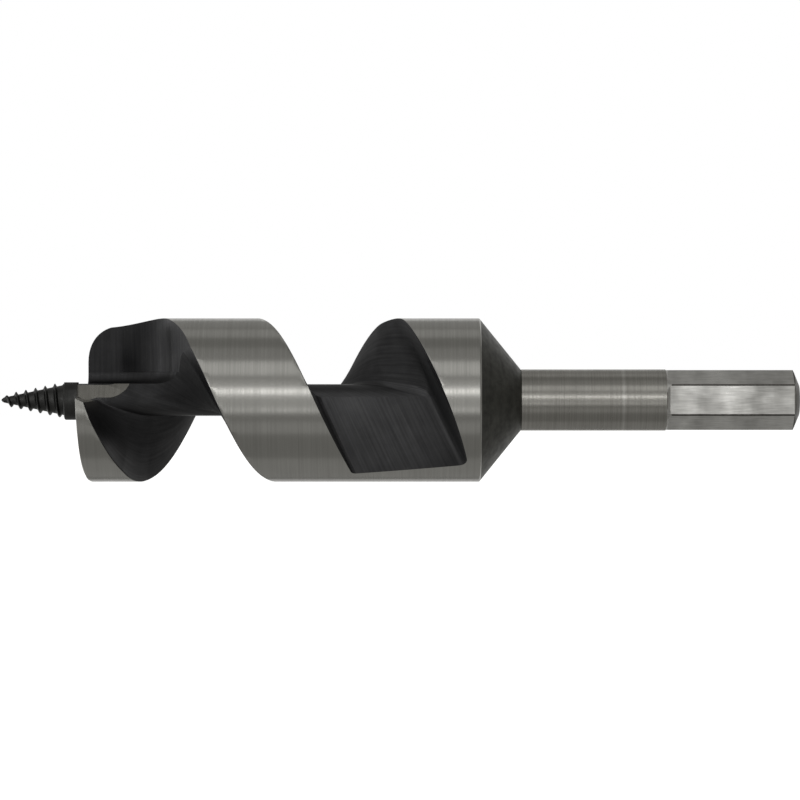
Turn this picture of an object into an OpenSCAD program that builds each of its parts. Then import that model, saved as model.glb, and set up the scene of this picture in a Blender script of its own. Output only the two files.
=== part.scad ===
// Auger bit for wood: tapered lead screw, single-flute ground body with a cutting lip, hexagonal shank.
// The bit lies along X with its point towards -X, and the origin is the centre of the shank's end face.

/* [Lead screw] */
// Length of the threaded point, from its tip to the collar
screw_len = 12.4; // [8:0.1:20]
// Root diameter of the thread at the tip
screw_tip_d = 0.8; // [0.4:0.1:1.6]
// Root diameter of the thread at the collar
screw_base_d = 6; // [4:0.1:7]
// Height of the thread's ridge over its root
thread_h = 0.55; // [0.3:0.05:0.8]
// Distance from one turn of the thread to the next
thread_pitch = 1.9; // [1.4:0.1:3]
// Axial width of the ridge at its foot
thread_w = 0.9; // [0.5:0.1:1.2]
// Diameter of the collar behind the thread, and of the nose boss that it seats on
collar_d = 7.8; // [6.6:0.1:9]
// Length of the collar
collar_len = 2.6; // [1:0.1:5]
// Diameter of the tang that sits in the nose
tang_d = 3.4; // [2.5:0.1:4]
// Length of the tang
tang_len = 11; // [6:0.5:14]

/* [Auger body] */
// Cutting diameter
bit_d = 32; // [28:0.5:38]
// Length of the cylindrical body, from its front face to the cone
body_len = 76.3; // [72:0.1:100]
// Distance of the lip's edge behind the seat of the lead screw's collar
lip_back = 0.6; // [0.3:0.1:2]
// How far the lip's edge stands ahead of the front face
lip_rise = 1.2; // [0.8:0.1:4]
// Angle around the body over which the front face falls away behind the lip
relief_angle = 76; // [50:1:100]
// Diameter of the core that the flute leaves
core_d = 6.2; // [5.6:0.1:9]
// Axial distance of one full turn of the flute
lead = 45.5; // [42:0.5:52]
// Axial width of the land on the outer diameter
land_w = 19.3; // [14:0.1:22]
// Axial distance from the flute's rear end to the cone
rear_land = 6.3; // [3:0.1:12]
// Length of the cone down to the shank
cone_len = 8.6; // [6:0.1:14]
// Lean of the flute's chip face, from the outer diameter to the core
chip_face_lean = 1.5; // [0.5:0.1:2.5]
// Lean of the flute's rear face, from the outer diameter to the core
rear_face_lean = 2.8; // [0.5:0.1:4]
// Fillet between the chip face and the core
chip_fillet = 0.9; // [0.5:0.1:2]
// Fillet between the rear face and the core
rear_fillet = 1.5; // [0.8:0.1:4]
// Radius of the disc cutter whose shape stays at the flute's rear end
cutter_r = 45; // [35:1:60]

/* [Throat] */
// Height of the throat's floor over the axis
throat_floor = 3.47; // [3.3:0.01:3.8]
// Depth of the throat's back wall behind the axis
throat_depth = 7.3; // [5:0.1:9]
// Length of the straight part of the back wall, from the front face
throat_straight = 1.7; // [0.5:0.1:6]
// Radius of the throat's run-out at the end of its back wall
throat_runout_r = 15.5; // [10:0.5:18]
// Corner radius of the wing beside the throat
wing_corner_r = 4.6; // [2:0.1:6]

/* [Shank] */
// Diameter of the round shank
shank_d = 12; // [10:0.5:13]
// Length of the round shank, from the cone to the hexagon
round_len = 29.3; // [15:0.1:60]
// Width of the hexagon across its flats
hex_af = 10.35; // [8.5:0.05:11.2]
// Length of the hexagon
hex_len = 25.2; // [20:0.1:40]
// Chamfer at the end of the hexagon
end_chamfer = 1.45; // [0.5:0.05:2]
// Diameter of the spigot that sits in the cone
spigot_d = 9; // [6:0.1:9.6]
// Length of the spigot
spigot_len = 9; // [5:0.1:10]

/* [Fits] */
// Radial gap around the tang and the spigot, filled when they are brazed
braze_gap = 0.05; // [0.03:0.01:0.1]
// Room behind the end of the tang and of the spigot
end_room = 0.5; // [0.2:0.1:1]

/* [Hidden] */
$fn = 96;
cut_past = 1;
// How far the wing's corner arc runs past the outer diameter, so that the two meet at an edge
rim_past = 0.3;
body_r = bit_d / 2;
core_r = core_d / 2;
collar_r = collar_d / 2;
flute_w = lead - land_w;

// Places along the axis, from the tip of the screw
seat_at = screw_len + collar_len;
lip_at = seat_at + lip_back;
front_at = lip_at + lip_rise;
cone_at = front_at + body_len;
shank_at = cone_at + cone_len;
hex_at = shank_at + round_len;
overall_len = hex_at + hex_len;

// Angles around the axis, from the top towards the viewer's side
lip_angle = 84;
flute_start = 0;
flute_stop = lip_angle + 360 * (cone_at - rear_land - flute_w - lip_at) / lead;
helix_angle = atan(lead / (PI * bit_d));

// Angles past the lip: where the front face is cut, and where the wing's corner radius fades in
front_cut_from = -20;
front_cut_to = 290;
wing_fade_from = 120;
wing_fade_to = 200;
// Share of the relief that falls evenly from the lip, while the rest grows with the square of the angle
relief_start = 0.5;

// Steps of the swept surfaces
flute_step = 9;
rim_step = 9;
arc_steps = 6;
thread_sides = 24;
thread_rings = ceil(8 * screw_len / thread_pitch);

// A point at the axial place a, the radius r and the angle round from the top
function at(a, r, round) = [a - overall_len, -r * sin(round), r * cos(round)];

// Points of an arc about centre c, from angle t0 to angle t1
function arc(c, r, t0, t1, steps) =
    [for (i = [0:steps]) c + r * [cos(t0 + (t1 - t0) * i / steps), sin(t0 + (t1 - t0) * i / steps)]];

// Faces of a closed tube of rings, with both ends capped
function tube_faces(rings, sides) = concat(
    [[for (i = [0:sides - 1]) i]],
    [for (j = [0:rings - 2], i = [0:sides - 1]) [j * sides + i, (j + 1) * sides + i, j * sides + (i + 1) % sides]],
    [for (j = [0:rings - 2], i = [0:sides - 1])
        [j * sides + (i + 1) % sides, (j + 1) * sides + i, (j + 1) * sides + (i + 1) % sides]],
    [[for (i = [sides - 1:-1:0]) (rings - 1) * sides + i]]);

// A solid turned about the axis from an outline of [radius, axial place]
module turned(outline) {
    translate([-overall_len, 0, 0]) rotate([0, 90, 0]) rotate_extrude() polygon(outline);
}

// A round bar between two places on the axis
module bar(from, to, r) {
    translate([from - overall_len, 0, 0]) rotate([0, 90, 0]) cylinder(r = r, h = to - from);
}

// Root radius of the lead screw's thread
function root_r(a) = (screw_tip_d + (screw_base_d - screw_tip_d) * a / screw_len) / 2;

// Share of the thread's full height, at one place and angle: a ridge that winds up like a right-hand screw
function ridge(a, round) =
    let (turn = a / thread_pitch - round / 360, off = abs(turn - floor(turn) - 0.5) * thread_pitch)
    max(0, 1 - 2 * off / thread_w) * min(1, a / thread_pitch);

module threaded_point() {
    points = [for (j = [0:thread_rings], i = [0:thread_sides - 1])
        let (a = screw_len * j / thread_rings, round = 360 * i / thread_sides)
        at(a, root_r(a) + thread_h * ridge(a, round), round)];
    polyhedron(points, tube_faces(thread_rings + 1, thread_sides));
}

// The tapered screw that draws the bit into the wood, with the tang that fixes it in the nose
module lead_screw() {
    color("#2d2d2d") {
        threaded_point();
        difference() {
            bar(screw_len, seat_at, collar_r);
            translate([screw_len - cut_past - overall_len, -collar_r, throat_floor])
                cube([collar_len + 2 * cut_past, collar_d, collar_r]);
        }
        bar(seat_at, seat_at + tang_len, tang_d / 2);
    }
}

// Outline of the flute in [axial place from the lip's helix, radius], with both fillets at the core
function flute_outline() =
    let (depth = body_r - core_r,
        chip_lean = atan(chip_face_lean / depth),
        rear_lean = atan(rear_face_lean / depth),
        chip_c = [chip_face_lean + chip_fillet * (1 - sin(chip_lean)) / cos(chip_lean), core_r + chip_fillet],
        rear_c = [flute_w - rear_face_lean - rear_fillet * (1 - sin(rear_lean)) / cos(rear_lean), core_r + rear_fillet])
    concat(
        [[-cut_past * tan(chip_lean), body_r + cut_past]],
        arc(chip_c, chip_fillet, 180 + chip_lean, 270, arc_steps),
        arc(rear_c, rear_fillet, 270, 360 - rear_lean, arc_steps),
        [[flute_w + cut_past * tan(rear_lean), body_r + cut_past]]);

// The helical part of the flute, from the throat to the place where the cutter lifts out
module flute() {
    outline = flute_outline();
    rings = ceil((flute_stop - flute_start) / flute_step);
    points = [for (j = [0:rings], p = outline)
        let (round = flute_start + (flute_stop - flute_start) * j / rings)
        at(lip_at + lead * (round - lip_angle) / 360 + p[0], p[1], round)];
    polyhedron(points, tube_faces(rings + 1, len(outline)));
}

// The disc cutter at the flute's rear end: it stands in the flute's outline, square to the helix
module flute_end() {
    outline = flute_outline();
    middle = flute_w / 2;
    place = lip_at + lead * (flute_stop - lip_angle) / 360 + middle;
    rotate([flute_stop, 0, 0])
        translate([place - overall_len, 0, core_r + cutter_r])
            rotate([0, 0, helix_angle])
                rotate([0, 90, 0])
                    rotate_extrude()
                        polygon(concat(
                            [for (p = outline) [cutter_r + core_r - p[1], (p[0] - middle) * cos(helix_angle)]],
                            [[cutter_r - 2 * body_r, (flute_w - middle) * cos(helix_angle)],
                             [cutter_r - 2 * body_r, -middle * cos(helix_angle)]]));
}

// How far the front face lies behind the lip's edge, at an angle past the lip
function relief(past) =
    let (share = min(1, past / relief_angle))
    lip_rise * (relief_start * share + (1 - relief_start) * share * abs(share));

// Corner radius of the front rim: full at the wing, and too small to reach the bit at the rest of the rim
function rim_r(past) =
    let (share = max(0, min(1, (past - wing_fade_from) / (wing_fade_to - wing_fade_from))))
    rim_past / 2 + (wing_corner_r - rim_past / 2) * pow(sin(90 * share), 2);

// What is turned away ahead of the front face, around the nose boss
module front_cut() {
    rings = ceil((front_cut_to - front_cut_from) / rim_step);
    points = [for (j = [0:rings])
        let (past = front_cut_from + (front_cut_to - front_cut_from) * j / rings,
            face = lip_at + relief(past),
            c = rim_r(past))
        each [for (p = concat(
            [[collar_r, seat_at - cut_past], [collar_r, face]],
            arc([body_r + rim_past - c, face + c], c, 270, 360, arc_steps),
            [[body_r + cut_past, face + c], [body_r + cut_past, seat_at - cut_past]]))
            at(p[1], p[0], lip_angle + past)]];
    polyhedron(points, tube_faces(rings + 1, arc_steps + 5));
}

// The straight throat through which the chips pass from the lip into the flute
module throat() {
    centre = [front_at + throat_straight, throat_depth - throat_runout_r];
    translate([-overall_len, 0, throat_floor])
        linear_extrude(body_r)
            polygon(concat(
                [[seat_at - cut_past, centre[1]], [seat_at - cut_past, throat_depth]],
                arc(centre, throat_runout_r, 90, 0, 16)));
}

// The ground body with its flute, lip, nose boss, rear land and cone
module auger_body() {
    color("#8d8c88")
        difference() {
            turned([[0, seat_at], [body_r, seat_at], [body_r, cone_at], [shank_d / 2, shank_at], [0, shank_at]]);
            flute();
            flute_end();
            front_cut();
            throat();
            bar(seat_at - cut_past, seat_at + tang_len + end_room, tang_d / 2 + braze_gap);
            bar(shank_at - spigot_len - end_room, shank_at + cut_past, spigot_d / 2 + braze_gap);
        }
}

// The round shank with its hexagonal drive end and the spigot that fixes it in the cone
module shank() {
    color("#b4b3b0") {
        bar(shank_at - spigot_len, shank_at, spigot_d / 2);
        bar(shank_at, hex_at, shank_d / 2);
        intersection() {
            translate([hex_at - overall_len, 0, 0])
                rotate([0, 90, 0]) cylinder(d = hex_af / cos(30), h = hex_len, $fn = 6);
            turned([[0, hex_at - cut_past], [shank_d, hex_at - cut_past],
                [shank_d, overall_len - end_chamfer - shank_d / 2],
                [shank_d / 2 - end_chamfer, overall_len], [0, overall_len]]);
        }
    }
}

lead_screw();
auger_body();
shank();
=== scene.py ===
import math

import bmesh
import bpy
import numpy as np
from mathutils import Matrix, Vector


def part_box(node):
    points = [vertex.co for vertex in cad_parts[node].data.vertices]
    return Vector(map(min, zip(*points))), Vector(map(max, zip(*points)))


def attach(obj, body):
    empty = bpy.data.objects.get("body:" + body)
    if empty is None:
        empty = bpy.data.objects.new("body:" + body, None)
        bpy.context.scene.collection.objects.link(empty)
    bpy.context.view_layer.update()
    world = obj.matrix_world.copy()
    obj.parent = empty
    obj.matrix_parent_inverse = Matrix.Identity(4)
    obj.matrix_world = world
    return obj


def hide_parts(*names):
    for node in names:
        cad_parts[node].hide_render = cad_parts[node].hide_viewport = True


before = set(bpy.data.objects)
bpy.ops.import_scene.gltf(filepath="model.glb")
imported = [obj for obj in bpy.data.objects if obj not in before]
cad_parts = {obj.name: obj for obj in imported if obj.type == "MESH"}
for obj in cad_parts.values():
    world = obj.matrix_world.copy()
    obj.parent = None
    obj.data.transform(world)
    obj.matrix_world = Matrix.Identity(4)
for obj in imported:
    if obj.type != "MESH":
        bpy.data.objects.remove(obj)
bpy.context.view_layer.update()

# Sizes are in millimetres, and places along the bit are counted from the tip of its screw
mm = 0.001
screwLow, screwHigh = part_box("lead_screw")
bodyLow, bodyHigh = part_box("auger_body")
shankLow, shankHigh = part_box("shank")
bitLength = -screwLow.x / mm
seatAt = bitLength + bodyLow.x / mm  # where the screw's collar sits on the body
shankAt = bitLength + bodyHigh.x / mm  # where the cone ends and the shank begins
hexAt = 130.05  # where the flats of the hexagon begin
bodyRadius = bodyHigh.z / mm
shankRadius = shankHigh.z / mm
tangEnd = bitLength + screwHigh.x / mm
spigotStart = bitLength + shankLow.x / mm


def frameX(along):
    # a place along the bit as an x of the frame, in metres
    return (along - bitLength) * mm


# View and studio

camera = {
    "distance": 800,  # from the bit's axis
    "viewWidth": 156.77,  # what the picture takes in at that distance
    "aimFromTip": 78.09,  # place along the bit at the middle of the picture
    "sensor": 36,
    "clip": (0.01, 50),  # metres
}
studio = {
    "lightDistance": 1.0,  # metres
    "lightLength": 1.7, "lightShift": -0.25,  # metres along the bit, and along x from the bit's middle
    "room": "#fffefa", "roomBrightness": 0.21,  # what the steel mirrors between the lights
    "backdrop": "#ffffff",
    "floorGap": 0.05,  # under the bit
    "floorSize": 6.0,  # metres
    "paper": "#f4f3f0", "paperRoughness": 0.9,
    "paperGlow": 0.9,  # share of the floor's white that no shadow dims
}
# Soft panels along the bit: degrees round it from the viewer's side upwards, degrees wide, brightness
panels = {
    "frontWall": (6, 46, 0.24),
    "keyStrip": (11.8, 7, 1.5),
    "upperSoftbox": (45, 22, 0.44),
    "shoulderStrip": (69, 18, 0.09),
    "topBack": (108, 20, 0.16),
    "rearWall": (150, 56, 0.09),
    "lowEdge": (-14.5, 6, 0.38),
    "lowStrip": (-39, 18, 0.12),
    "rearLow": (-115, 50, 0.08),
}
# Square cards round the bit: degrees from the viewer towards the tip, degrees up, metres wide, brightness
cards = {
    "tipCard": (84, 6, 1.4, 0.24),
    "tipBackCard": (124, -14, 1.0, 0.72),
    "shankCard": (-92, 0, 0.9, 0.06),
    "backCard": (-160, 0, 1.2, 0.32),
}


def addNode(tree, kind, settings=None, links=None):
    node = tree.nodes.new(kind)
    for key, value in (settings or {}).items():
        if isinstance(key, int) or key in node.inputs:
            node.inputs[key].default_value = value
        else:
            setattr(node, key, value)
    for key, source in (links or {}).items():
        tree.links.new(source, node.inputs[key])
    return node


def linear(hexColour):
    # the sRGB curve, undone for each of red, green and blue
    parts = [int(hexColour[i:i + 2], 16) / 255 for i in (1, 3, 5)]
    return tuple(c / 12.92 if c <= 0.04045 else ((c + 0.055) / 1.055) ** 2.4 for c in parts) + (1.0,)


def addCamera():
    data = bpy.data.cameras.new("photoView")
    data.sensor_width = camera["sensor"]
    data.lens = camera["sensor"] * camera["distance"] / camera["viewWidth"]
    data.clip_start, data.clip_end = camera["clip"]
    eye = bpy.data.objects.new("photoView", data)
    eye.location = (frameX(camera["aimFromTip"]), -camera["distance"] * mm, 0)
    eye.rotation_euler = (math.radians(90), 0, 0)
    bpy.context.scene.collection.objects.link(eye)
    bpy.context.scene.camera = eye


def addPanel(name, turn, width, brightness):
    # a long area light whose face points at the bit; its watts are its brightness times pi times its area
    far = studio["lightDistance"]
    data = bpy.data.lights.new(name, "AREA")
    data.shape = "RECTANGLE"
    data.size = studio["lightLength"]
    data.size_y = 2 * far * math.tan(math.radians(width / 2))
    data.energy = brightness * math.pi * data.size * data.size_y
    panel = bpy.data.objects.new(name, data)
    away = Vector((0, -math.cos(math.radians(turn)), math.sin(math.radians(turn))))
    panel.location = away * far + Vector((studio["lightShift"] - bitLength * mm / 2, 0, 0))
    panel.rotation_euler = (math.radians(90 - turn), 0, 0)
    panel.visible_camera = False
    bpy.context.scene.collection.objects.link(panel)


def addCard(name, turn, rise, width, brightness):
    # a square area light that faces the middle of the bit
    turn, rise = math.radians(turn), math.radians(rise)
    away = Vector((-math.sin(turn) * math.cos(rise), -math.cos(turn) * math.cos(rise), math.sin(rise)))
    data = bpy.data.lights.new(name, "AREA")
    data.shape = "SQUARE"
    data.size = width
    data.energy = brightness * math.pi * width ** 2
    card = bpy.data.objects.new(name, data)
    card.location = away * studio["lightDistance"] + Vector((-bitLength * mm / 2, 0, 0))
    card.rotation_euler = away.to_track_quat("Z", "Y").to_euler()
    card.visible_camera = False
    bpy.context.scene.collection.objects.link(card)


def addWorld():
    # a dim even room for the metal to mirror, and plain white behind the bit
    world = bpy.data.worlds.new("studioRoom")
    bpy.context.scene.world = world
    world.use_nodes = True
    tree = world.node_tree
    tree.nodes.clear()
    path = addNode(tree, "ShaderNodeLightPath")
    room = addNode(tree, "ShaderNodeBackground",
                   {"Color": linear(studio["room"]), "Strength": studio["roomBrightness"]})
    white = addNode(tree, "ShaderNodeBackground", {"Color": linear(studio["backdrop"]), "Strength": 1.0})
    mixed = addNode(tree, "ShaderNodeMixShader", {},
                    {0: path.outputs["Is Camera Ray"], 1: room.outputs[0], 2: white.outputs[0]})
    addNode(tree, "ShaderNodeOutputWorld", {}, {"Surface": mixed.outputs[0]})


def addFloor():
    half = studio["floorSize"] / 2
    level = -(bodyRadius + studio["floorGap"]) * mm
    mesh = bpy.data.meshes.new("paleFloor")
    corners = [(-half, -half, level), (half, -half, level), (half, half, level), (-half, half, level)]
    mesh.from_pydata(corners, [], [(0, 1, 2, 3)])
    floor = bpy.data.objects.new("paleFloor", mesh)
    bpy.context.scene.collection.objects.link(floor)
    paint = bpy.data.materials.new("whitePaper")
    paint.use_nodes = True
    shader = paint.node_tree.nodes["Principled BSDF"]
    shader.inputs["Base Color"].default_value = linear(studio["paper"])
    shader.inputs["Roughness"].default_value = studio["paperRoughness"]
    shader.inputs["Emission Color"].default_value = linear(studio["backdrop"])
    shader.inputs["Emission Strength"].default_value = studio["paperGlow"]
    mesh.materials.append(paint)
    floor.visible_glossy = False  # so that the steel mirrors the studio and not the paper
    floor.visible_shadow = False


bpy.context.scene.view_settings.view_transform = "Standard"
addCamera()
addWorld()
addFloor()
for panelName, (panelTurn, panelWidth, panelBrightness) in panels.items():
    addPanel(panelName, panelTurn, panelWidth, panelBrightness)
for cardName, (cardTurn, cardRise, cardWidth, cardBrightness) in cards.items():
    addCard(cardName, cardTurn, cardRise, cardWidth, cardBrightness)
print("studio: camera, floor and", len(panels) + len(cards), "lights")


# Materials

# How a pattern of streaks and one of clouds share in the look of every steel
steelMix = {
    "streakShare": 0.65, "cloudShare": 0.35,
    "colourRange": (0.35, 0.65),  # values of the mix between which the dark colour turns to the light one
    "glossRange": (0.3, 0.7),  # values of the mix between which the dull gloss turns to the bright one
    "grainDepth": 0.02,  # how high a full bump would stand; each finish's bump is a share of it
}
# How many ever finer layers each pattern has, and how much the finer ones count
noiseDetail = {"line": 3.0, "stain": 2.0, "oxideStain": 3.0, "oxideMark": 4.0, "cloud": 3.0, "wave": 1.0}
noiseRoughness = 0.55

# Tool steel ground round its diameter: bright, with fine lines round the bit that streak each reflection
groundFinish = {
    "light": "#bcbbb6", "dark": "#b0afaa",
    "lineWidth": 0.35,  # along the bit; real grinding lines are finer and would not show
    "lineLength": 30, "stainSize": 9,
    "roughness": (0.18, 0.24), "bump": 0.06,
}
# The flat that a small wheel left on the nose, and the end of the shank: duller than the ground bar
facetFinish = {
    "light": "#aaa8a2", "dark": "#918f89",
    "lineWidth": 0.5, "lineLength": 4, "stainSize": 3,
    "roughness": (0.24, 0.32), "bump": 0.1,
}
# Steel left from the rolled bar at the hexagon's corners and its chamfer: dull and darker than what was cut
barFinish = {
    "light": "#7c7a76", "dark": "#62605c",
    "lineWidth": 0.5, "lineLength": 4, "stainSize": 2,
    "roughness": (0.3, 0.42), "bump": 0.12,
}
# Steel blackened in a hot oxide bath over milled faces: near black, satin, with cutter marks along the flute
oxideFinish = {
    "light": "#535354", "dark": "#434344",
    "markWidth": 0.45, "markLength": 18, "stainSize": 5,
    "roughness": (0.36, 0.48), "bump": 0.2,
}
# The same bath over turned faces, which come out mottled rather than lined
mottledFinish = {
    "light": "#50504f", "dark": "#40403f",
    "markWidth": 0.6, "markLength": 8, "stainSize": 1.4,
    "roughness": (0.36, 0.48), "bump": 0.25,
}
# The same on the cone, a little paler and browner
coneFinish = dict(mottledFinish, light="#5f5f5a", dark="#4c4c48")
# The same bath over the throat, coloured darker than on the flute, with the cutter's marks standing upright
throatFinish = {
    "light": "#3d3d3e", "dark": "#333334",
    "markWidth": 0.6, "markLength": 14, "stainSize": 4,
    "roughness": (0.36, 0.48), "bump": 0.15,
}
# The floor of the throat and the strip under its shallow cut: a little paler
ledgeFinish = dict(throatFinish, light="#434344", dark="#383839")
# The shallow cut in the throat's wall: painted shade darkens the oxide near its left end, and painted light
# pales it to the right
hollowPaintedShading = {
    "from": 22.6, "to": 35.1,  # places along the bit
    # shares of the way between them, and the share of the throat's colour there: under one is painted shade,
    # over one painted light
    "shades": ((0.0, 1.0), (0.06, 0.55), (0.26, 0.62), (0.55, 1.2), (1.0, 1.9)),
    "fade": (13.5, 8.0),  # heights between which the shades come in
}
# The same bath over the flute's walls, which were left rough: they mirror nothing sharply
roughFinish = {
    "light": "#565657", "dark": "#484849",
    "markWidth": 0.5, "markLength": 10, "stainSize": 3,
    "roughness": (0.66, 0.78), "bump": 0.2,
    # chips have rubbed it smoother beside the lip: the share of the roughness left there, the places along
    # the bit between which the rubbing ends, and how far these move to the tip for each mm above the axis
    "rubShare": 0.55, "rubbed": (17.5, 22.0), "rubLean": 0.49,
}
# Steel turned and then polished: as bright as the body, with turning lines round the bar and one lighter ring
shankFinish = {
    "light": "#b4b2ac", "dark": "#a19f99", "ring": "#d2d0cb",
    "lineWidth": 0.28, "lineLength": 25, "stainSize": 6,
    "ringAt": 121.7, "ringWidth": 0.9, "ringShare": 0.6,
    "roughness": (0.22, 0.28), "bump": 0.08,
}
# Steel flats left from a milling cutter: whiter than the turned bar, with slow waves that mirror in patches
milledFinish = {
    "light": "#e0dfdb", "dark": "#aaa9a5",
    "cloudLength": 6, "cloudHeight": 14, "grainWidth": 0.3, "grainLength": 3,
    "waveSize": 5, "waveHeight": 0.35,
    # the cutter's passes left each flat a little twisted: shares of its length, and of the slope there
    "twist": ((0.03, 0.0), (0.13, 1.0), (0.3, 0.2), (0.53, 1.0), (0.75, 0.0)), "twistSlope": 0.085,
    "roughness": (0.26, 0.35), "bump": 0.12,
}


def newMaterial(name):
    made = bpy.data.materials.new(name)
    made.use_nodes = True
    return made


def grainPattern(tree, source, sizes, detail):
    # noise whose grain is as long as the three sizes say
    scale = tuple(1 / (size * mm) for size in sizes)
    mapped = addNode(tree, "ShaderNodeMapping", {"Scale": scale}, {"Vector": source})
    return addNode(tree, "ShaderNodeTexNoise", {"Scale": 1.0, "Detail": detail, "Roughness": noiseRoughness},
                   {"Vector": mapped.outputs[0]})


def fillStops(ramp, stops):
    # grey stops of a ramp: share of the way, and the value there
    for stop in stops[1:-1]:
        ramp.elements.new(stop[0])
    for element, (share, value) in zip(ramp.elements, stops):
        element.position = share
        element.color = (value, value, value, 1)


def steel(finish, streaks, clouds):
    # one steel shader: the mix of both patterns sets colour and gloss, and the streaks alone lift the bump
    tree = streaks.id_data
    shader = tree.nodes["Principled BSDF"]
    shader.inputs["Metallic"].default_value = 1.0
    cloudPart = addNode(tree, "ShaderNodeMath", {"operation": "MULTIPLY", 1: steelMix["cloudShare"]},
                        {0: clouds.outputs["Fac"]})
    both = addNode(tree, "ShaderNodeMath", {"operation": "MULTIPLY_ADD", 1: steelMix["streakShare"]},
                   {0: streaks.outputs["Fac"], 2: cloudPart.outputs[0]})
    darkAt, lightAt = steelMix["colourRange"]
    spread = addNode(tree, "ShaderNodeMapRange", {"From Min": darkAt, "From Max": lightAt},
                     {"Value": both.outputs[0]})
    colour = addNode(tree, "ShaderNodeMix",
                     {"data_type": "RGBA", 6: linear(finish["dark"]), 7: linear(finish["light"])},
                     {0: spread.outputs[0]})
    tree.links.new(colour.outputs[2], shader.inputs["Base Color"])
    dullAt, brightAt = steelMix["glossRange"]
    bright, dull = finish["roughness"]
    gloss = addNode(tree, "ShaderNodeMapRange",
                    {"From Min": dullAt, "From Max": brightAt, "To Min": dull, "To Max": bright},
                    {"Value": both.outputs[0]})
    tree.links.new(gloss.outputs[0], shader.inputs["Roughness"])
    bump = addNode(tree, "ShaderNodeBump",
                   {"Strength": finish["bump"], "Distance": steelMix["grainDepth"] * mm},
                   {"Height": streaks.outputs["Fac"]})
    tree.links.new(bump.outputs[0], shader.inputs["Normal"])


def groundSteel(name, finish):
    made = newMaterial(name)
    tree = made.node_tree
    spot = addNode(tree, "ShaderNodeTexCoord").outputs["Object"]
    lineSizes = (finish["lineWidth"], finish["lineLength"], finish["lineLength"])
    streaks = grainPattern(tree, spot, lineSizes, noiseDetail["line"])
    clouds = grainPattern(tree, spot, (finish["stainSize"],) * 3, noiseDetail["stain"])
    steel(finish, streaks, clouds)
    return made


def blackOxide(name, finish, followFlute):
    made = newMaterial(name)
    tree = made.node_tree
    spot = addNode(tree, "ShaderNodeTexCoord").outputs["Object"]
    clouds = grainPattern(tree, spot, (finish["stainSize"],) * 3, noiseDetail["oxideStain"])
    markSizes = (finish["markWidth"], finish["markLength"], finish["markLength"])
    if followFlute:  # the marks run along each milled face, as its own map says
        flow = addNode(tree, "ShaderNodeUVMap", {"uv_map": "flow"}).outputs[0]
        steel(finish, grainPattern(tree, flow, markSizes, noiseDetail["oxideMark"]), clouds)
    else:  # stains first, with faint marks round the bit
        steel(finish, clouds, grainPattern(tree, spot, markSizes, noiseDetail["oxideMark"]))
    return made


def roughOxide():
    finish = roughFinish
    made = blackOxide("blackOxideRough", finish, True)
    tree = made.node_tree
    gloss = tree.nodes["Principled BSDF"].inputs["Roughness"]
    coordinates = addNode(tree, "ShaderNodeTexCoord")
    spot = addNode(tree, "ShaderNodeSeparateXYZ", {}, {0: coordinates.outputs["Object"]})
    way = addNode(tree, "ShaderNodeMath", {"operation": "MULTIPLY_ADD", 1: finish["rubLean"]},
                  {0: spot.outputs[2], 2: spot.outputs[0]})
    rubFrom, rubTo = finish["rubbed"]
    share = addNode(tree, "ShaderNodeMapRange",
                    {"From Min": frameX(rubFrom), "From Max": frameX(rubTo), "To Min": finish["rubShare"]},
                    {"Value": way.outputs[0]})
    rubbed = addNode(tree, "ShaderNodeMath", {"operation": "MULTIPLY"},
                     {0: gloss.links[0].from_socket, 1: share.outputs[0]})
    tree.links.new(rubbed.outputs[0], gloss)
    return made


def hollowOxidePaintedShading():
    finish = hollowPaintedShading
    made = blackOxide("blackOxideHollowPaintedShading", throatFinish, True)
    tree = made.node_tree
    base = tree.nodes["Principled BSDF"].inputs["Base Color"]
    # painted shade and painted light: the throat's colour times a ramp along the bit, coming in lower down
    coordinates = addNode(tree, "ShaderNodeTexCoord")
    spot = addNode(tree, "ShaderNodeSeparateXYZ", {}, {0: coordinates.outputs["Object"]})
    way = addNode(tree, "ShaderNodeMapRange",
                  {"From Min": frameX(finish["from"]), "From Max": frameX(finish["to"])},
                  {"Value": spot.outputs[0]})
    ramp = addNode(tree, "ShaderNodeValToRGB", {}, {0: way.outputs[0]})
    fillStops(ramp.color_ramp, finish["shades"])
    fadeFrom, fadeTo = finish["fade"]
    low = addNode(tree, "ShaderNodeMapRange", {"From Min": fadeFrom * mm, "From Max": fadeTo * mm},
                  {"Value": spot.outputs[2]})
    paintedShadingMix = addNode(tree, "ShaderNodeMix", {"data_type": "RGBA", "blend_type": "MULTIPLY"},
                     {0: low.outputs[0], 6: base.links[0].from_socket, 7: ramp.outputs[0]})
    tree.links.new(paintedShadingMix.outputs[2], base)
    return made


def turnedShank():
    finish = shankFinish
    made = groundSteel("turnedShankSteel", finish)
    tree = made.node_tree
    base = tree.nodes["Principled BSDF"].inputs["Base Color"]
    # the lighter ring: how near a point lies to the ring's place along the bit
    coordinates = addNode(tree, "ShaderNodeTexCoord")
    spot = addNode(tree, "ShaderNodeSeparateXYZ", {}, {0: coordinates.outputs["Object"]})
    off = addNode(tree, "ShaderNodeMath", {"operation": "SUBTRACT", 1: frameX(finish["ringAt"])},
                  {0: spot.outputs[0]})
    near = addNode(tree, "ShaderNodeMath", {"operation": "ABSOLUTE"}, {0: off.outputs[0]})
    ring = addNode(tree, "ShaderNodeMapRange",
                   {"From Min": finish["ringWidth"] * mm / 2, "From Max": 0.0, "To Max": finish["ringShare"]},
                   {"Value": near.outputs[0]})
    lit = addNode(tree, "ShaderNodeMix", {"data_type": "RGBA", 7: linear(finish["ring"])},
                  {0: ring.outputs[0], 6: base.links[0].from_socket})
    tree.links.new(lit.outputs[2], base)
    return made


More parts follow.
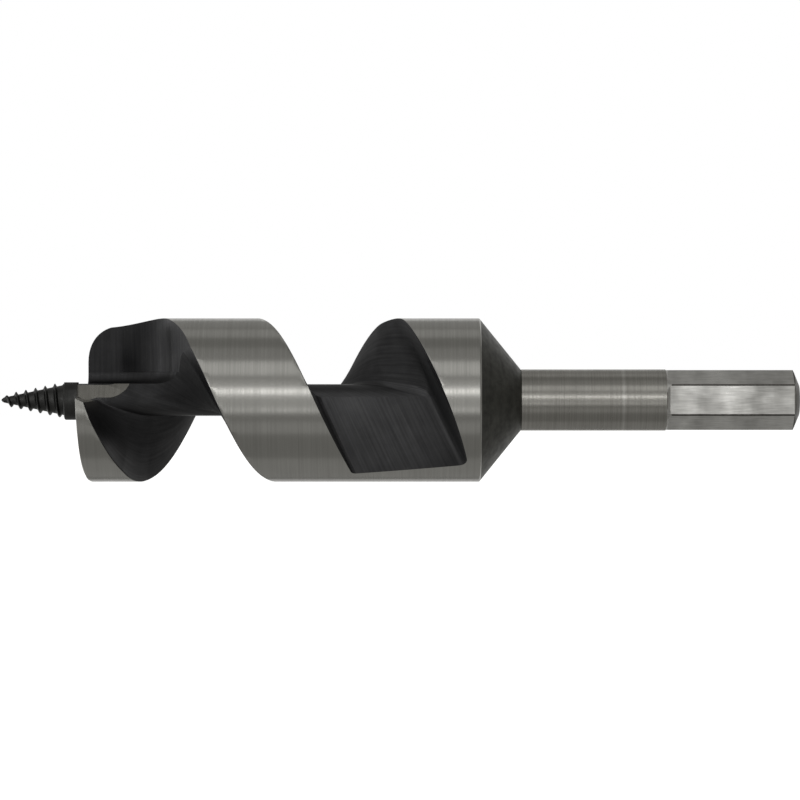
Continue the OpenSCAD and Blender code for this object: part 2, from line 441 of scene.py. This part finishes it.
def milledHexagon():
    finish = milledFinish
    made = newMaterial("milledHexagonSteel")
    tree = made.node_tree
    spot = addNode(tree, "ShaderNodeTexCoord").outputs["Object"]
    grainSizes = (finish["grainLength"], finish["grainWidth"], finish["grainWidth"])
    cloudSizes = (finish["cloudLength"], finish["cloudHeight"], finish["cloudHeight"])
    grain = grainPattern(tree, spot, grainSizes, noiseDetail["line"])
    clouds = grainPattern(tree, spot, cloudSizes, noiseDetail["cloud"])
    steel(finish, clouds, grain)
    # the slow waves tilt the flat a few degrees, under the finer bump
    bump = tree.nodes["Principled BSDF"].inputs["Normal"].links[0].from_node
    waves = grainPattern(tree, spot, (finish["waveSize"],) * 3, noiseDetail["wave"])
    swell = addNode(tree, "ShaderNodeBump", {"Strength": 1.0, "Distance": finish["waveHeight"] * mm},
                    {"Height": waves.outputs["Fac"]})
    tree.links.new(swell.outputs[0], bump.inputs["Normal"])
    # the twist: the flat falls back upwards by a slope that changes along it
    split = addNode(tree, "ShaderNodeSeparateXYZ", {}, {0: spot})
    way = addNode(tree, "ShaderNodeMapRange", {"From Min": frameX(hexAt), "From Max": frameX(bitLength)},
                  {"Value": split.outputs[0]})
    ramp = addNode(tree, "ShaderNodeValToRGB", {}, {0: way.outputs[0]})
    ramp.color_ramp.interpolation = "EASE"
    fillStops(ramp.color_ramp, finish["twist"])
    fall = addNode(tree, "ShaderNodeMath", {"operation": "MULTIPLY"},
                   {0: ramp.outputs[0], 1: split.outputs[2]})
    twist = addNode(tree, "ShaderNodeBump",
                    {"Strength": 1.0, "Distance": finish["twistSlope"], "invert": True},
                    {"Height": fall.outputs[0]})
    tree.links.new(twist.outputs[0], swell.inputs["Normal"])
    return made


ground = groundSteel("groundToolSteel", groundFinish)
facetSteel = groundSteel("groundNoseFacet", facetFinish)
barSteel = groundSteel("rolledBarSteel", barFinish)
oxideFlute = blackOxide("blackOxideMilled", oxideFinish, True)
oxideThroat = blackOxide("blackOxideThroat", ledgeFinish, True)
oxideHollowPaintedShading = hollowOxidePaintedShading()
oxideRough = roughOxide()
oxideTurned = blackOxide("blackOxideTurned", mottledFinish, False)
oxideCone = blackOxide("blackOxideCone", coneFinish, False)
shankSteel = turnedShank()
hexSteel = milledHexagon()
print("materials:", len(bpy.data.materials))


# Shapes

def place(along, radius, turn):
    # along the bit from the tip, radius, and degrees round from the top towards the viewer
    along, radius, turn = np.broadcast_arrays(along, radius, np.radians(turn))
    return np.stack([along - bitLength, -radius * np.sin(turn), radius * np.cos(turn)], -1) * mm


def arc(centre, radius, start, end, steps):
    # points on a circle from one angle to another
    angle = np.radians(np.linspace(start, end, steps + 1))
    return np.stack([centre[0] + radius * np.cos(angle), centre[1] + radius * np.sin(angle)], -1)


def runningLength(grid, axis):
    # mean distance walked from the first line of the grid to each of the others and back to the first
    step = np.linalg.norm(np.roll(grid, -1, axis) - grid, axis=2).mean(1 - axis)
    return np.concatenate([[0], np.cumsum(step)])


def skin(name, rings, materials, slots=0):
    # a closed skin through rings of points: a quad between each four neighbours, and a flat face at each end
    rows, columns = rings.shape[:2]
    index = np.arange(rows * columns).reshape(rows, columns)
    here, ahead = index[:-1], index[1:]
    quads = np.stack([here, np.roll(here, -1, 1), np.roll(ahead, -1, 1), ahead], -1).reshape(-1, 4)
    ends = [index[0, ::-1].tolist(), index[-1].tolist()]
    mesh = bpy.data.meshes.new(name)
    mesh.from_pydata(rings.reshape(-1, 3).tolist(), [], quads.tolist() + ends)
    # the flow map: distance across the rings and along them
    across, along = runningLength(rings, 1), runningLength(rings, 0)
    left, low = np.meshgrid(np.arange(columns), np.arange(rows - 1))
    u = np.stack([across[left], across[left + 1], across[left + 1], across[left]], -1)
    v = np.stack([along[low], along[low], along[low + 1], along[low + 1]], -1)
    flow = np.zeros((len(mesh.loops), 2))
    flow[:quads.size] = np.stack([u.reshape(-1), v.reshape(-1)], -1)
    mesh.uv_layers.new(name="flow").data.foreach_set("uv", flow.astype(np.float32).ravel())
    cells = np.broadcast_to(slots, (rows, columns))
    marks = np.concatenate([cells[:-1].ravel(), [cells[0, 0], cells[-1, 0]]])
    mesh.polygons.foreach_set("material_index", marks.astype(np.int32))
    mesh.polygons.foreach_set("use_smooth", np.ones(len(mesh.polygons), bool))
    for material in materials:
        mesh.materials.append(material)
    outward = bmesh.new()
    outward.from_mesh(mesh)
    bmesh.ops.recalc_face_normals(outward, faces=outward.faces)
    outward.to_mesh(mesh)
    outward.free()
    made = bpy.data.objects.new(name, mesh)
    bpy.context.scene.collection.objects.link(made)
    return made


def turned(name, outline, sides, materials, slots=0):
    # a solid of revolution from an outline of (along, radius)
    turn = np.arange(sides) * 360 / sides
    return skin(name, place(outline[:, :1], outline[:, 1:], turn[None, :]), materials, slots)


def walk(points, count):
    # the same line, drawn again through evenly spaced points
    walked = np.concatenate([[0], np.cumsum(np.linalg.norm(np.diff(points, axis=0), axis=1))])
    steps = np.linspace(0, walked[-1], count)
    return np.stack([np.interp(steps, walked, points[:, 0]), np.interp(steps, walked, points[:, 1])], -1)


def soften(line, width):
    # each point becomes the mean of its neighbours, which rounds the corners
    padded = np.pad(line, ((width // 2, width // 2), (0, 0)), "edge")
    return np.lib.stride_tricks.sliding_window_view(padded, width, 0).mean(-1)


def ramped(value, start, end):
    # nought before the start, one after the end, and a straight rise between
    return np.clip((value - start) / (end - start), 0, 1)


def ease(value, start, end):
    # the same with a smooth step
    share = ramped(value, start, end)
    return share * share * (3 - 2 * share)


def cutAway(target, cutters):
    # takes each cutter from the target in turn; the cut faces keep the cutter's material and flow map
    for cutter in cutters:
        step = target.modifiers.new(cutter.name, "BOOLEAN")
        step.operation = "DIFFERENCE"
        step.solver = "EXACT"
        step.object = cutter
        step.material_mode = "TRANSFER"
    graph = bpy.context.evaluated_depsgraph_get()
    made = bpy.data.meshes.new_from_object(target.evaluated_get(graph))
    target.modifiers.clear()
    target.data = made
    for cutter in cutters:
        bpy.data.objects.remove(cutter)


def finishPiece(piece, node, sharpAngle):
    piece.data.set_sharp_from_angle(angle=math.radians(sharpAngle))
    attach(piece, "root")
    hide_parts(node)
    print(piece.name + ":", len(piece.data.polygons), "faces")


# Lead screw

screw = {
    "length": 12.4, "tipRadius": 0.4, "baseRadius": 3.0,
    "pointLength": 0.5, "pointBlunt": 0.02,  # the round point, and how far before the tip it would close
    "pitch": 1.9, "ridgeHeight": 0.62, "ridgeWidth": 0.95, "ridgeEnd": 0.4,
    "collarRadius": 3.9, "collarFlat": 3.47, "collarEdge": 0.18, "tangRadius": 1.7,
    "sides": 120, "rowsPerMm": 12, "sharpAngle": 40,
}


def makeScrew():
    # radius over place and turn: a cone, plus a rounded ridge that gains one pitch each turn, then a collar
    # and a tang
    size = screw
    length, pitch = size["length"], size["pitch"]
    along = np.linspace(0, length, round(length * size["rowsPerMm"]) + 1)[:, None]
    turn = np.arange(size["sides"])[None, :] * 360 / size["sides"]
    root = size["tipRadius"] + (size["baseRadius"] - size["tipRadius"]) * along / length
    root = root * np.sqrt(np.clip((along + size["pointBlunt"]) / size["pointLength"], 0, 1))
    away = (along / pitch - turn / 360) % 1 - 0.5
    bell = 0.5 + 0.5 * np.cos(2 * np.pi * np.clip(away * pitch / size["ridgeWidth"], -0.5, 0.5))
    growth = np.clip(along / pitch, 0, 1) * np.clip((length - along) / size["ridgeEnd"], 0, 1)
    thread = place(along, root + size["ridgeHeight"] * bell * growth, turn)
    # the collar with a broken edge and a flat on its top, and the tang behind it
    edge, wide, tang = size["collarEdge"], size["collarRadius"], size["tangRadius"]
    outline = np.array([(length, wide - edge), (length + edge, wide), (seatAt, wide), (seatAt, tang),
                        (tangEnd, tang)])
    upward = np.maximum(np.cos(np.radians(turn)), size["collarFlat"] / wide)
    radius = np.minimum(outline[:, 1:], size["collarFlat"] / upward)
    rings = np.vstack([thread, place(outline[:, :1], radius, turn)])
    piece = skin("threaded_lead_screw", rings, [oxideTurned])
    finishPiece(piece, "lead_screw", size["sharpAngle"])


# Auger body

body = {
    "lead": 45.5, "landWidth": 19.3, "coreRadius": 3.1, "rearLand": 6.8,
    "lipBack": 0.6, "lipRise": 1.2, "lipAngle": 84, "reliefAngle": 76, "reliefStart": 0.5,
    "chipLean": 1.5, "rearLean": 2.8, "chipFillet": 0.9,
    # turns, and the radius at the rear face's foot there
    "rearFillet": ((75, 150, 385, 438), (12.5, 4.0, 4.0, 2.3)),
    # turns, and how far the chip face is set back from the lip's helix there
    "chipShift": ((88, 91.5, 104, 150, 188, 345), (-1.2, 0.75, 0.4, 0.4, -0.45, -0.28)),
    "chipFade": (9.6, 1.6),  # places across the flute between which that shift comes in
    "lipGround": (86, 91.5), "lipGroundTo": 1.4,  # turns, and place across, of the lip's ground end
    "roughTo": 118,  # turn up to which the whole flute is rough, but for its outer edge
    "smoothFrom": 414,  # turn past which the outer edge of the rear face is smooth again
    "roughChip": 2.2, "roughRear": (22.5, 25.5),  # places across the flute where the rough of its walls ends
    "edge": 0.2, "edgeStop": 66,  # broken edge of the land, and the angle where its arc meets the ground face
    "edgeRun": 0.4,  # how far the cutter goes on beyond that arc
    "coneLength": 8.1, "coneCorner": 0.4, "groundPast": 0.25,
    "noseRadius": 3.9, "rimRadius": 0.25, "rimPast": 0.08,
    "wingRadius": 5.5, "wingFade": (40, 200), "wingForward": 0.35,
    "frontCut": (-20, 290), "fit": 0.05, "endRoom": 0.5,
    "past": 1.0,  # how far cutters stand out of the bar
    "sides": 360, "boreSides": 64, "turnStep": 1.5, "frontStep": 2.0, "sharpAngle": 30,
    "barRows": 60, "coneRows": 14, "cornerSteps": 8, "rimSteps": 12,
}
# How many points or steps each stretch of the flute's outline has
fluteSteps = {"edge": 5, "chipWall": 14, "chipArc": 10, "floor": 24, "rearArc": 24, "rearWall": 26}
endCutter = {
    "radius": 45,
    # its flat side: where it crosses the axis, and how far it falls towards the tip for each mm up and
    # each mm back
    "sideAt": 84.6, "sideUp": 0.412, "sideBack": 0.169,
    "deepest": 427.7,  # turn at which that side lies deepest
    "blend": (12, 26),  # degrees before and after it reaches a point, between which it takes over there
    "rearShare": (0.45, 0.8),  # shares of the flute's width between which it takes over
    "overlap": 0.2, "endAngle": 100,  # degrees that it begins inside the flute, and where it leaves
    "rows": 64,
}
throat = {
    "floor": 3.2, "depth": 7.3, "straight": 1.7, "sweep": 15.5,
    "sweepTo": -3.6, "endLean": 0.5,  # where the sweep ends before the axis, and how the far end then leans
    "tilt": ((19, 24, 29), (-2.0, -1.0, 5.5)),  # places along, and degrees that the wall leans back there
    "tiltFade": (-6.3, 0),  # the lean is gone at the first of these places before the axis
    "rim": 15.0, "fillet": 2.0,  # height at which the leaning wall keeps its plan, and the floor's fillet
    "past": 4.0,  # how far it stands out of the bar towards the viewer
    "softenBy": 5, "spacing": 0.3, "sweepSteps": 30, "filletSteps": 8,
}
# A shallow cut in the throat's wall with an upright left end, deepest low down and faded out upwards
hollow = {
    "from": hollowPaintedShading["from"],
    "steps": (0, 0.5, 16, 24), "depth": (0, 0.4, 0.35, 0),  # along the wall from there, and how deep it is
    "low": 5.5, "ledge": 0.05,  # its lowest height, and the height of the slope back to the wall under it
    "fade": (14.0, 6.5), "levels": 14,  # heights between which it comes in
}
noseFacet = {
    "turn": 57, "distance": 2.4, "from": 13.0, "to": 25.3, "high": 4.5, "corner": 4.2, "thickness": 3.0,
    "low": -1.26, "lowFrom": 18.8, "lipLow": (-2.4, -2.12), "lipTo": 16.1, "cornerSteps": 12,
}
lipAt = seatAt + body["lipBack"]
frontAt = lipAt + body["lipRise"]
coneAt = shankAt - body["coneLength"]
fluteWidth = body["lead"] - body["landWidth"]
fluteStop = body["lipAngle"] + 360 * (coneAt - body["rearLand"] - fluteWidth - lipAt) / body["lead"]
helixAngle = math.atan(body["lead"] / (2 * math.pi * bodyRadius))


def barBlank():
    # the ground bar, its rounded corner and the cone down to the shank; the grinding ends a little way down
    # the cone
    corner = body["coneCorner"]
    fall = math.atan2(bodyRadius - shankRadius, body["coneLength"])
    back = corner * math.tan(fall / 2)
    bend = arc((coneAt - back, bodyRadius - corner), corner, 90, 90 - math.degrees(fall), body["cornerSteps"])
    straight = np.linspace(seatAt, coneAt - back, body["barRows"])[:-1]
    cone = np.linspace(coneAt + body["groundPast"], shankAt, body["coneRows"])
    cone = np.stack([cone, shankRadius + (shankAt - cone) * math.tan(fall)], -1)
    outline = np.vstack([np.stack([straight, np.full_like(straight, bodyRadius)], -1), bend, cone])
    slots = np.where(np.arange(len(outline)) < len(straight) + len(bend), 0, 1)
    return turned("fluted_auger_body", outline, body["sides"], [ground, oxideCone], slots[:, None])


def fluteOutline(broken, rear):
    # (along from the lip's helix, radius): chip face, core and rear face with their fillets, opening out at
    # broken edges
    core, top, deep = body["coreRadius"], bodyRadius + body["past"], bodyRadius - body["coreRadius"]
    chip, edge, stop = body["chipFillet"], body["edge"], body["edgeStop"]
    chipTilt, rearTilt = math.atan(body["chipLean"] / deep), math.atan(body["rearLean"] / deep)
    chipDegrees, rearDegrees = math.degrees(chipTilt), math.degrees(rearTilt)

    def inset(radius, tilt):
        return radius * (1 - math.sin(tilt)) / math.cos(tilt)

    chipCentre = (body["chipLean"] + inset(chip, chipTilt), core + chip)
    rearCentre = (fluteWidth - body["rearLean"] - inset(rear, rearTilt), core + rear)
    chipArc = arc(chipCentre, chip, 180 + chipDegrees, 270, fluteSteps["chipArc"])
    rearArc = arc(rearCentre, rear, 270, 360 - rearDegrees, fluteSteps["rearArc"])
    if broken:
        leftCentre = (-inset(edge, chipTilt), bodyRadius - edge)
        rightCentre = (fluteWidth + inset(edge, rearTilt), bodyRadius - edge)
        left = arc(leftCentre, edge, stop, chipDegrees, fluteSteps["edge"])
        right = arc(rightCentre, edge, 180 - rearDegrees, 180 - stop, fluteSteps["edge"])
        run = np.array([math.sin(math.radians(stop)), math.cos(math.radians(stop))]) * body["edgeRun"]
        leftEnd, rightEnd = left[0] + run * (-1, 1), right[-1] + run
        left = np.vstack([(leftEnd[0], top), leftEnd, left])
        right = np.vstack([right, rightEnd, (rightEnd[0], top)])
    else:
        left = np.array([(-body["past"] * math.tan(chipTilt), top)])
        right = np.array([(fluteWidth + body["past"] * math.tan(rearTilt), top)])
    chipWall = np.linspace(left[-1], chipArc[0], fluteSteps["chipWall"])[1:-1]
    floor = np.linspace(chipArc[-1], rearArc[0], fluteSteps["floor"])[1:-1]
    rearWall = np.linspace(rearArc[-1], right[0], fluteSteps["rearWall"])[1:-1]
    return np.vstack([left, chipWall, chipArc, floor, rearArc, rearWall, right])


def outlineAt(turn, broken):
    # the outline's points move in proportion to the rear fillet, so two outlines give it for any radius
    plain, wider = fluteOutline(broken, 1), fluteOutline(broken, 2)
    return plain + (np.interp(turn, *body["rearFillet"])[..., None] - 1) * (wider - plain)


def flutePlaces(turn, outline):
    # where the outline's points lie along the bit: on the lip's helix, with the chip face shifted, and moved
    # over to the flat side of the end cutter where that has reached their radius
    across, radius = outline[..., 0], outline[..., 1]
    helix = lipAt + body["lead"] * (turn - body["lipAngle"]) / 360
    shift = np.interp(turn, *body["chipShift"]) * ramped(across, *body["chipFade"])
    lean = body["rearLean"] / (bodyRadius - body["coreRadius"])
    rearWall = helix + fluteWidth - lean * (bodyRadius - radius)
    angle = np.radians(turn)
    side = (endCutter["sideAt"] - endCutter["sideUp"] * radius * np.cos(angle)
            + endCutter["sideBack"] * radius * np.sin(angle))
    reached = endCutter["deepest"] - np.degrees(np.arccos(np.minimum(1, body["coreRadius"] / radius)))
    before, after = endCutter["blend"]
    share = ease(turn, reached - before, reached + after)
    rearSide = ease(across / fluteWidth, *endCutter["rearShare"])
    return helix + across + shift + share * rearSide * (side - rearWall)


def roughWalls(across, smoothEdge):
    # the chip face and the rear face, but for a strip along the rear face's outer edge where that is smooth
    inner, outer = body["roughRear"]
    return (across < body["roughChip"]) | ((across > inner) & ~(smoothEdge & (across > outer)))


def fluteCutter():
    # the flute's outline carried round the bit; the blunt end of the lip is ground bright, the walls are
    # rough, and beside the throat the floor is rough too
    turn = np.linspace(0, fluteStop, round(fluteStop / body["turnStep"]) + 1)[:, None]
    outline = outlineAt(turn, True)
    across = outline[..., 0]
    groundFrom, groundTo = body["lipGround"]
    onLip = (turn > groundFrom) & (turn < groundTo) & (across < body["lipGroundTo"])
    atThroat = turn < body["roughTo"]
    walls = roughWalls(across, atThroat | (turn > body["smoothFrom"]))
    rough = walls | (atThroat & (across < body["roughRear"][1]))
    slots = np.where(onLip, 1, np.where(rough, 2, 0))
    points = place(flutePlaces(turn, outline), outline[..., 1], turn)
    return skin("helicalFlute", points, [oxideFlute, ground, oxideRough], slots)


def runOutCutter():
    # the end cutter: each point of the flute's last outline turns about an axle that is square to the helix
    outline = outlineAt(fluteStop, False)
    last = flutePlaces(fluteStop, outline)
    stop = math.radians(fluteStop)
    out = np.array([0, -math.sin(stop), math.cos(stop)])
    side = np.array([0, math.cos(stop), math.sin(stop)])
    ahead = np.array([math.sin(helixAngle), 0, 0]) - math.cos(helixAngle) * side
    axle = np.array([math.cos(helixAngle), 0, 0]) + math.sin(helixAngle) * side
    middle = (last.min() + last.max()) / 2
    hub = endCutter["radius"] + body["coreRadius"]
    centre = np.array([middle - bitLength, 0, 0]) + out * hub
    across, lead = (last - middle) * math.cos(helixAngle), (last - middle) * math.sin(helixAngle)
    reach = np.hypot(hub - outline[:, 1], lead)
    begin = math.radians(180 + endCutter["overlap"]) - np.arcsin(lead / reach)
    leave = np.full_like(begin, math.radians(endCutter["endAngle"]))
    angle = np.linspace(begin, leave, endCutter["rows"])[..., None]
    points = centre + reach[:, None] * (np.cos(angle) * out + np.sin(angle) * ahead) + across[:, None] * axle
    slots = np.where(roughWalls(outline[:, 0], True), 1, 0)
    return skin("runOutDisc", points * mm, [oxideFlute, oxideRough], slots)


def frontCutter():
    # a ring round the nose: the face falls away behind the lip, and its outer corner widens into the wing's
    # radius
    turn = np.arange(body["frontCut"][0], body["frontCut"][1] + 1, body["frontStep"])[:, None]
    share = np.minimum(1, turn / body["reliefAngle"])
    relief = body["reliefStart"] * share + (1 - body["reliefStart"]) * share * np.abs(share)
    fade = ramped(turn, *body["wingFade"])
    face = lipAt + body["lipRise"] * relief - body["wingForward"] * fade ** 2
    corner = body["rimRadius"] + (body["wingRadius"] - body["rimRadius"]) * np.sin(np.pi / 2 * fade) ** 2
    unit = arc((0, 0), 1, 270, 360, body["rimSteps"])
    ahead, wide = np.full_like(face, seatAt - body["past"]), np.full_like(face, bodyRadius + body["past"])
    nose = np.full_like(face, body["noseRadius"])
    rim = bodyRadius + body["rimPast"] - corner + corner * unit[None, :, 0]
    radius = np.hstack([nose, nose, rim, wide, wide])
    along = np.hstack([ahead, face, face + corner + corner * unit[None, :, 1], face + corner, ahead])
    return skin("frontRelief", place(along, radius, turn + body["lipAngle"]), [ground])


def throatCutter():
    # the wall's plan runs straight, sweeps forward past the axis and goes on to the viewer; levels of it are
    # stacked, leaning a little, set back by the hollow above the ledge and brought in by a fillet along
    # the floor
    deep, sweep, near = throat["depth"], throat["sweep"], -(bodyRadius + throat["past"])
    start = (frontAt + throat["straight"], deep - sweep)
    sweepEnd = math.degrees(math.asin((throat["sweepTo"] - start[1]) / sweep))
    bend = arc(start, sweep, 90, sweepEnd, throat["sweepSteps"])
    farEnd = bend[-1, 0] + throat["endLean"] * (throat["sweepTo"] - near)
    plan = np.vstack([(seatAt - body["past"], deep), bend, (farEnd, near)])
    length = np.linalg.norm(np.diff(plan, axis=0), axis=1).sum()
    plan = soften(walk(plan, round(length / throat["spacing"])), throat["softenBy"])
    heading = np.gradient(plan, axis=0)
    heading /= np.linalg.norm(heading, axis=1, keepdims=True)
    inward = np.stack([heading[:, 1], -heading[:, 0]], -1)
    walked = np.arange(len(plan)) * throat["spacing"]
    walked = walked - np.interp(hollow["from"], plan[:, 0], walked)
    setBack = np.interp(walked, hollow["steps"], hollow["depth"])[:, None]
    forward = np.tan(np.radians(np.interp(plan[:, 0], *throat["tilt"])))
    forward = forward * ease(plan[:, 1], *throat["tiltFade"])
    # each level: height, share of the hollow, and how far the fillet stands in
    fillet, ledge = throat["fillet"], hollow["low"] - hollow["ledge"]
    rise = np.linspace(hollow["fade"][0], hollow["low"], hollow["levels"])
    share = ramped(rise, *hollow["fade"])
    foot = arc((fillet, throat["floor"] + fillet), fillet, 180, 270, throat["filletSteps"])
    height = np.concatenate([[bodyRadius + body["past"]], rise, [ledge], foot[:, 1]])[:, None]
    share = np.concatenate([[0], share, np.zeros(len(foot) + 1)])[:, None, None]
    inset = np.concatenate([np.zeros(len(rise) + 2), foot[:, 0]])[:, None, None]
    ring = plan + (inset - share * setBack) * inward
    ring[..., 1] -= forward * (throat["rim"] - height)
    ring = np.concatenate([ring, np.broadcast_to([plan[0, 0], near], (len(height), 1, 2))], 1)
    height = np.broadcast_to(height[..., None], ring.shape[:2] + (1,))
    # slot 1, the hollow above the ledge, takes the oxide with painted shade and painted light
    slots = np.where(height[..., 0] > ledge + hollow["ledge"] / 2, 1, 0)
    points = np.concatenate([ring, height], 2) - (bitLength, 0, 0)
    return skin("throatSlot", points * mm, [oxideThroat, oxideHollowPaintedShading], slots)


def facetCutter():
    # a flat slab across the nose with a round corner, as a small wheel leaves it; it dips towards the lip
    size = noseFacet
    turn, corner = math.radians(size["turn"]), size["corner"]
    out = np.array([0, -math.sin(turn), math.cos(turn)])
    up = np.array([0, math.cos(turn), math.sin(turn)])
    lipStart, lipEnd = size["lipLow"]
    dip = [(size["from"], lipStart), (size["lipTo"], lipEnd), (size["lowFrom"], size["low"])]
    bend = arc((size["to"] - corner, size["low"] + corner), corner, 270, 360, size["cornerSteps"])
    outline = np.vstack([dip, bend, [(size["to"], size["high"]), (size["from"], size["high"])]])
    flat = (outline[:, :1] - bitLength) * (1, 0, 0) + outline[:, 1:] * up
    layers = np.array([size["distance"], size["distance"] + size["thickness"]])[:, None, None]
    return skin("noseFacet", (flat[None] + layers * out) * mm, [facetSteel])


def boreCutter(name, start, end, radius):
    # a plain round bar, which leaves a socket of its own radius
    return turned(name, np.array([(start, radius), (end, radius)]), body["boreSides"], [oxideTurned])


def makeBody():
    piece = barBlank()
    past, room, fit = body["past"], body["endRoom"], body["fit"]
    cutters = [fluteCutter(), runOutCutter(), frontCutter(), throatCutter(), facetCutter(),
               boreCutter("tangBore", seatAt - past, tangEnd + room, screw["tangRadius"] + fit),
               boreCutter("spigotBore", spigotStart - room, shankAt + past, shank["spigotRadius"] + fit)]
    cutAway(piece, cutters)
    finishPiece(piece, "auger_body", body["sharpAngle"])


# Shank

shank = {
    "spigotRadius": 4.5, "flat": 5.175, "cornerRadius": 5.86,
    "runOut": 0.95,  # radius of the cutter's corner, which leaves a short dark step at the start of each flat
    "endLength": 1.25, "endDrop": 3.0, "seam": 0.12,
    "flats": 6, "pointsPerFlat": 33, "sharpAngle": 22,
    "barRows": 30, "runOutRows": 16, "flatRows": 24, "endRows": 24,
}


def makeShank():
    # radius over place and turn: a round bar, cut by six flats that start in a small arc, and by the chamfer
    # at its end
    size = shank
    seam, runOut, spigot = size["seam"], size["runOut"], size["spigotRadius"]
    runLength = math.sqrt(runOut ** 2 - (runOut - shankRadius + size["flat"]) ** 2)
    runEnd, chamferAt = hexAt + runLength, bitLength - size["endLength"]
    # the spigot, the step up to the bar with its small seam, and rows along each stretch after it
    start = np.array([(spigotStart, spigot), (shankAt, spigot), (shankAt, shankRadius - seam),
                      (shankAt + seam, shankRadius)])
    along = np.concatenate([start[:, 0],
                            np.linspace(shankAt + seam, hexAt, size["barRows"])[1:],
                            np.linspace(hexAt, runEnd, size["runOutRows"])[1:],
                            np.linspace(runEnd, chamferAt, size["flatRows"])[1:],
                            np.linspace(chamferAt, bitLength, size["endRows"])[1:]])[:, None]
    bar = np.full_like(along, shankRadius)
    bar[:len(start), 0] = start[:, 1]
    # points stand close on both sides of each corner, where a narrow strip of the bar is left
    sector = 360 / size["flats"]
    edge = math.degrees(math.acos(size["flat"] / size["cornerRadius"]))
    points = np.append(np.linspace(-edge, edge, size["pointsPerFlat"]), sector / 2)
    turn = (sector / 2 + np.arange(size["flats"])[:, None] * sector + points).reshape(1, -1)
    left = np.clip(runEnd - along, 0, runLength)
    flat = size["flat"] + runOut - np.sqrt(runOut ** 2 - left ** 2)
    nearest = np.radians((turn % sector) - sector / 2)
    hexagon = np.minimum(flat / np.cos(nearest), np.maximum(flat, size["cornerRadius"]))
    hexagon = np.where(along >= hexAt, hexagon, shankRadius)
    chamfer = shankRadius - (along - chamferAt) * size["endDrop"] / size["endLength"]
    radius = np.minimum(np.minimum(bar, hexagon), chamfer)
    # turned bar, milled flats, rolled bar at the corners and on the chamfer, and the end face
    onEdge = np.tile(np.arange(len(points)) >= size["pointsPerFlat"] - 1, size["flats"])
    slots = np.where(along < hexAt, 0, np.where(onEdge & (along >= runEnd), 2, 1))
    slots = np.where(along >= chamferAt, np.where(along < bitLength, 2, 3), slots)
    piece = skin("hex_shank", place(along, radius, turn), [shankSteel, hexSteel, barSteel, facetSteel], slots)
    finishPiece(piece, "shank", size["sharpAngle"])


makeScrew()
makeBody()
makeShank()
